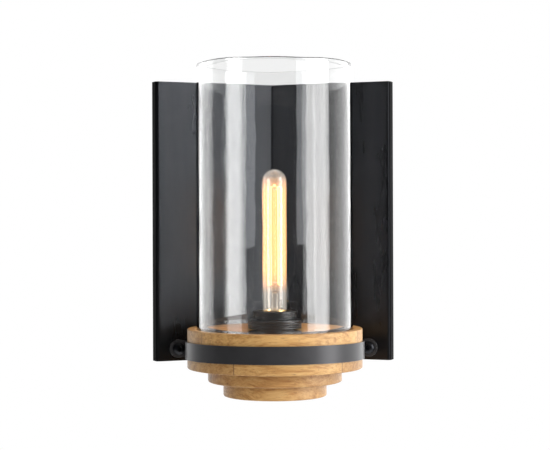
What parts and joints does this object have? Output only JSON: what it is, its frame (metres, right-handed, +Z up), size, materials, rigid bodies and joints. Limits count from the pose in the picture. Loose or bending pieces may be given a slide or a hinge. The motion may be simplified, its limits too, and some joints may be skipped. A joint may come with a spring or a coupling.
{
  "type": "wall sconce",
  "caption": "Electric wall sconce: a stepped wooden base strapped into a V-shaped steel plate, with a clear glass cylinder round a tubular filament bulb.",
  "frame": {"origin": "middle of the wall bracket's rear face, on the wall plane", "axes": "+Z up, +Y into the wall, +X to the right for someone who faces the wall"},
  "size_m": [0.2686, 0.2205, 0.356],
  "materials": {
    "blackened_steel": "satin black, worn a little at the edges",
    "zinc_steel": "bright zinc plate",
    "pale_wood": "open-grained pale wood, clear matt finish",
    "clear_glass": "clear, slightly uneven",
    "bulb_glass": "clear",
    "felt": "felt",
    "black_phenolic": "moulded",
    "brass": "satin",
    "bulb_wire": "drawn wire",
    "filament": "glowing filament",
    "ceramic": "unglazed",
    "black_lead": "smooth insulation",
    "white_lead": "smooth insulation"
  },
  "bodies": {
    "root": {"back_plate": "blackened_steel", "strap": "blackened_steel", "strap_bolt_left": "blackened_steel", "strap_bolt_right": "blackened_steel", "wiring_box": "blackened_steel", "box_screw_left": "blackened_steel", "box_screw_right": "blackened_steel", "strap_washer_left": "zinc_steel", "strap_washer_right": "zinc_steel", "strap_nut_left": "zinc_steel", "strap_nut_right": "zinc_steel", "wall_bracket": "zinc_steel", "stack_screw_1": "zinc_steel", "stack_screw_2": "zinc_steel", "stack_screw_3": "zinc_steel", "plate_screw_left": "zinc_steel", "plate_screw_right": "zinc_steel", "block_screw": "zinc_steel", "socket_yoke": "zinc_steel", "yoke_screw_1": "zinc_steel", "yoke_screw_2": "zinc_steel", "nipple_washer": "zinc_steel", "base_disc_upper": "pale_wood", "base_disc_lower": "pale_wood", "step_disc_middle": "pale_wood", "step_disc_bottom": "pale_wood", "glass_seat_ring": "felt", "socket_flange": "black_phenolic", "socket_body": "black_phenolic", "socket_shell": "brass", "socket_contact": "brass", "socket_nipple": "brass", "nipple_nut": "brass", "ground_screw": "brass", "terminal_screw_1": "brass", "terminal_screw_2": "brass", "terminal_screw_3": "brass", "terminal_screw_4": "brass", "terminal_block": "ceramic", "lead_live": "black_lead", "lead_bushing": "black_lead", "lead_neutral": "white_lead"},
    "bulb_carrier": {"bulb_tip": "bulb_wire"},
    "bulb": {"bulb_glass": "bulb_glass", "bulb_stem": "bulb_glass", "bulb_rod": "bulb_glass", "bulb_filament": "filament", "filament_hooks_upper": "bulb_wire", "filament_hooks_lower": "bulb_wire", "filament_lead_left": "bulb_wire", "filament_lead_right": "bulb_wire", "bulb_base": "brass", "bulb_insulator": "black_phenolic"},
    "glass": {"glass_cylinder": "clear_glass"}
  },
  "joints": [
    {"name": "glass_lift", "type": "slide", "parent": "root", "child": "glass", "axis": [0, 0, 1], "range_m": [0, 0.3]},
    {"name": "bulb_rise", "type": "slide", "parent": "root", "child": "bulb_carrier", "axis": [0, 0, 1], "range_m": [0, 0.01995]},
    {"name": "bulb_turn", "type": "hinge", "parent": "bulb_carrier", "child": "bulb", "pos_m": [0, -0.12423, -0.11], "axis": [0, 0, 1], "range_deg": [0, 1980]}
  ],
  "couplings": [
    {"joint": "bulb_turn", "follows": "bulb_rise", "rad_per_m": 1731.6}
  ]
}
